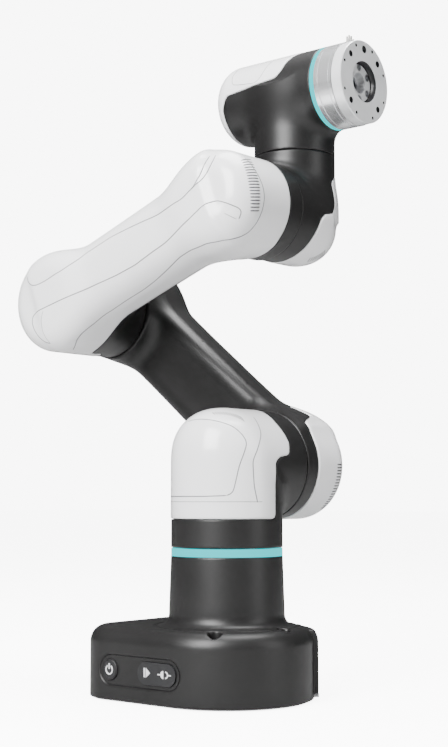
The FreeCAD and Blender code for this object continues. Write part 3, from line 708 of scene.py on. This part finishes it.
# wrist vent slots, drawn as dark strips of painted shade
vw = [
    [(17.28, 79.19, 325.9), (11.42, 83.04, 323.41)],
    [(18.34, 80.84, 326.57), (12.67, 84.4, 323.83)],
    [(19.42, 82.29, 327.31), (13.72, 85.91, 324.33)],
    [(20.69, 83.33, 328.07), (14.54, 87.59, 324.93)],
    [(21.8, 84.43, 328.96), (15.49, 89.0, 325.53)],
    [(22.9, 85.37, 329.93), (16.2, 90.61, 326.24)],
    [(23.99, 86.16, 330.98), (16.67, 92.42, 327.05)],
    [(25.07, 86.81, 332.1), (16.9, 94.44, 327.96)],
]
ribbons("wrist_vent_shade", f_w1, vw, 0.8, 0.45, VENT_SHADE, "wrist_1", smooth=0)
# wrist_2 panel lines, drawn as strips of painted shade along the seams
w2l = [[(x, 60, z) for x, z in ((-40, 482), (-41, 470), (-38, 462), (-14, 459), (-9, 464), (-7, 476), (-6, 484))]]
ribbons("wrist_2_seam_shade_lines", f_w2, w2l, 0.6, 0.42, SEAM_SHADE, "wrist_2", smooth=6)


def plate_xz(name, pts, y0, y1, m, body):
    """Flat icon piece standing out of a face that looks along -Y."""
    n = len(pts)
    V = [(x, y0, z) for x, z in pts] + [(x, y1, z) for x, z in pts]
    me = bpy.data.meshes.new(name)
    F = [tuple(range(n)), tuple(range(2 * n - 1, n - 1, -1))]
    F += [(i, i + n, (i + 1) % n + n, (i + 1) % n) for i in range(n)]
    me.from_pydata([tuple(c / 1000 for c in v) for v in V], [], F)
    me.update()
    o = bpy.data.objects.new(name, me)
    bpy.context.scene.collection.objects.link(o)
    paint(o, m)
    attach(o, body)
    return o


def arc(cx, cz, r0, r1, a0, a1, n=28):
    A = np.radians(np.linspace(a0, a1, n))
    return [(cx + r1 * math.cos(a), cz + r1 * math.sin(a)) for a in A] + [(cx + r0 * math.cos(a), cz + r0 * math.sin(a)) for a in A[::-1]]


def ring_x(name, cy, cz, rings, m, body, n=72):
    """Lining of a round recess about the X axis: rings is a list of (x, r) rows."""
    A = np.linspace(0, 2 * math.pi, n, endpoint=False)
    Vr = [(x, cy + r * math.cos(a), cz + r * math.sin(a)) for x, r in rings for a in A]
    Fr = [(j * n + i, j * n + (i + 1) % n, (j + 1) * n + (i + 1) % n, (j + 1) * n + i) for j in range(len(rings) - 1) for i in range(n)]
    o = make_mesh(name, Vr, Fr)
    paint(o, m)
    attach(o, body)
    return o


# painted shade: dark lining inside the tool recess
ring_x("recess_shade_lining", J5Y, J6Z, [(66.1, 15.62), (61.6, 15.55), (61.5, 15.4), (61.45, 14.3)], HOLE_SHADE, "tool")
def block(name, c, ang, sx, sy, sz, m, body):
    """Small box with its centre at c, turned by ang about Z."""
    a = math.radians(ang)
    V = []
    for i in (-1, 1):
        for j in (-1, 1):
            for k in (-1, 1):
                u, v = i * sx / 2.0, j * sy / 2.0
                V.append((c[0] + u * math.cos(a) - v * math.sin(a), c[1] + u * math.sin(a) + v * math.cos(a), c[2] + k * sz / 2.0))
    F = [(0, 1, 3, 2), (4, 6, 7, 5), (0, 4, 5, 1), (2, 3, 7, 6), (0, 2, 6, 4), (1, 5, 7, 3)]
    o = make_mesh(name, V, F)
    o.data.polygons.foreach_set("use_smooth", np.zeros(6, bool))
    paint(o, m)
    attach(o, body)
    return o


block("panel_tab", (63.2 * math.cos(0.70), 63.2 * math.sin(0.70), 2.9), 40.0, 4.2, 4.5, 2.8, ICON, "base")


# dark lining of a flange hole: painted shade inside the hole
def hole_shade_lining(name, r, deg, rad):
    a = math.radians(deg)
    cy, cz = J5Y + rad * math.cos(a), J6Z + rad * math.sin(a)
    return ring_x(name, cy, cz, [(66.15, r), (63.0, r), (63.0, 0.02)], HOLE_SHADE, "tool", 24)


for k in range(4):
    hole_shade_lining("bolt_hole_%d" % k, 2.42, 45 + 90 * k, 25.0)
for k in range(8):
    hole_shade_lining("small_hole_%d" % k, 1.18, 22.5 + 45 * k, 27.75)
hole_shade_lining("dowel_hole_shade", 2.9, 90, 25.0)
plate_xz("power_icon", arc(-55.7, 22, 2.6, 3.5, 122, 418), -62.6, -62.1, ICON, "power_button")
plate_xz("power_icon_bar", [(-56.15, 22.4), (-55.25, 22.4), (-55.25, 26.4), (-56.15, 26.4)], -62.6, -62.1, ICON, "power_button")
plate_xz("power_rim", arc(-55.7, 22, 6.3, 6.9, 0, 359.9, 60), -62.55, -62.2, BLACK, "power_button")
plate_xz("step_icon_bar", [(-22.5, 19.4), (-21.4, 19.4), (-21.4, 25.6), (-22.5, 25.6)], -62.45, -62.15, ICON, "mode_key")
plate_xz("step_icon", [(-20.6, 19.2), (-16.6, 22.5), (-20.6, 25.8)], -62.45, -62.15, ICON, "mode_key")
plate_xz("plug_icon_a", arc(-4.2, 22.2, 0.0, 2.7, 90, 270, 16), -62.45, -62.15, ICON, "mode_key")
plate_xz("plug_icon_b", arc(-2.4, 22.2, 1.6, 2.5, -90, 90, 16), -62.45, -62.15, ICON, "mode_key")
plate_xz("plug_icon_c", [(-9.6, 21.8), (-6.8, 21.8), (-6.8, 22.6), (-9.6, 22.6)], -62.45, -62.15, ICON, "mode_key")
plate_xz("plug_icon_d", [(0.1, 21.8), (2.6, 21.8), (2.6, 22.6), (0.1, 22.6)], -62.45, -62.15, ICON, "mode_key")


# ------------------------------------------------------------------ studio
def plane(name, size, loc):
    me = bpy.data.meshes.new(name)
    s = size
    me.from_pydata([(-s, -s, 0), (s, -s, 0), (s, s, 0), (-s, s, 0)], [], [(0, 1, 2, 3)])
    o = bpy.data.objects.new(name, me)
    o.location = loc
    bpy.context.scene.collection.objects.link(o)
    return o


floor = plane("floor", 12.0, (0, 0, -0.0004))
paint(floor, mat("pale_floor", (0.93, 0.93, 0.93), (0.96, 0.96, 0.96), 0.6, 0.04, scale=2))
ft = floor.data.materials[0].node_tree
fb = ft.nodes["Principled BSDF"]
fp = ft.nodes.new("ShaderNodeLightPath")
fe = ft.nodes.new("ShaderNodeEmission")
fe.inputs["Strength"].default_value = 7.8
fa = ft.nodes.new("ShaderNodeAddShader")
ft.links.new(fb.outputs[0], fa.inputs[0])
ft.links.new(fe.outputs[0], fa.inputs[1])
fd = ft.nodes.new("ShaderNodeBsdfDiffuse")
fd.inputs["Color"].default_value = (0.42, 0.42, 0.42, 1)
fx = ft.nodes.new("ShaderNodeMixShader")
ft.links.new(fp.outputs["Is Camera Ray"], fx.inputs[0])
ft.links.new(fd.outputs[0], fx.inputs[1])
ft.links.new(fa.outputs[0], fx.inputs[2])
ft.links.new(fx.outputs[0], ft.nodes["Material Output"].inputs["Surface"])
floor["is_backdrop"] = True


def area(name, loc, target, sx, sy, power):
    l = bpy.data.lights.new(name, "AREA")
    l.shape = "RECTANGLE"
    l.size, l.size_y, l.energy = sx, sy, power
    o = bpy.data.objects.new(name, l)
    o.location = loc
    o.rotation_euler = (Vector(target) - Vector(loc)).to_track_quat("-Z", "Y").to_euler()
    bpy.context.scene.collection.objects.link(o)
    return o


az = math.radians(40.0)
right = Vector((math.cos(az), math.sin(az), 0))
away = Vector((-math.sin(az), math.cos(az), 0))


def at(r, a, z):
    v = right * r + away * a
    return (v.x, v.y, z)


area("key", at(-0.75, -1.1, 1.05), (0, 0, 0.27), 0.8, 1.2, 87)
area("fill", at(1.25, -0.6, 0.6), (0, 0, 0.25), 0.6, 1.2, 8)
area("top", at(0.15, 0.15, 1.7), (0, 0, 0.2), 1.0, 1.0, 52)

w = bpy.data.worlds.new("studio")
bpy.context.scene.world = w
w.use_nodes = True
t = w.node_tree
bg = t.nodes["Background"]
lp = t.nodes.new("ShaderNodeLightPath")
bg2 = t.nodes.new("ShaderNodeBackground")
bg2.inputs["Color"].default_value = (1, 1, 1, 1)
bg2.inputs["Strength"].default_value = 8.4
tc = t.nodes.new("ShaderNodeTexCoord")
sep = t.nodes.new("ShaderNodeSeparateXYZ")
t.links.new(tc.outputs["Generated"], sep.inputs[0])
rmp = t.nodes.new("ShaderNodeValToRGB")
rmp.color_ramp.elements[0].position = 0.30
rmp.color_ramp.elements[0].color = (0.10, 0.10, 0.105, 1)
rmp.color_ramp.elements[1].position = 0.95
rmp.color_ramp.elements[1].color = (0.95, 0.95, 0.96, 1)
ad = t.nodes.new("ShaderNodeMath")
ad.operation = "MULTIPLY_ADD"
ad.inputs[1].default_value = 0.5
ad.inputs[2].default_value = 0.5
t.links.new(sep.outputs["Z"], ad.inputs[0])
t.links.new(ad.outputs[0], rmp.inputs["Fac"])
t.links.new(rmp.outputs["Color"], bg.inputs["Color"])
bg.inputs["Strength"].default_value = 0.25
mx = t.nodes.new("ShaderNodeMixShader")
t.links.new(lp.outputs["Is Camera Ray"], mx.inputs[0])
t.links.new(bg.outputs[0], mx.inputs[1])
t.links.new(bg2.outputs[0], mx.inputs[2])
t.links.new(mx.outputs[0], t.nodes["World Output"].inputs["Surface"])

cam = bpy.data.cameras.new("photo_view")
cam.lens = 67.7
cam.sensor_width = 36.0
cam.clip_start = 0.05
cam.clip_end = 50.0
co = bpy.data.objects.new("photo_view", cam)
co.location = (0.6502, -0.7781, 0.142)
pitch = 0.0885
d = away * math.cos(pitch) + Vector((0, 0, math.sin(pitch)))
co.rotation_euler = d.to_track_quat("-Z", "Y").to_euler()
bpy.context.scene.collection.objects.link(co)
bpy.context.scene.camera = co

{"cad_box": cad_box, "visual_box": plain(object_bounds())}
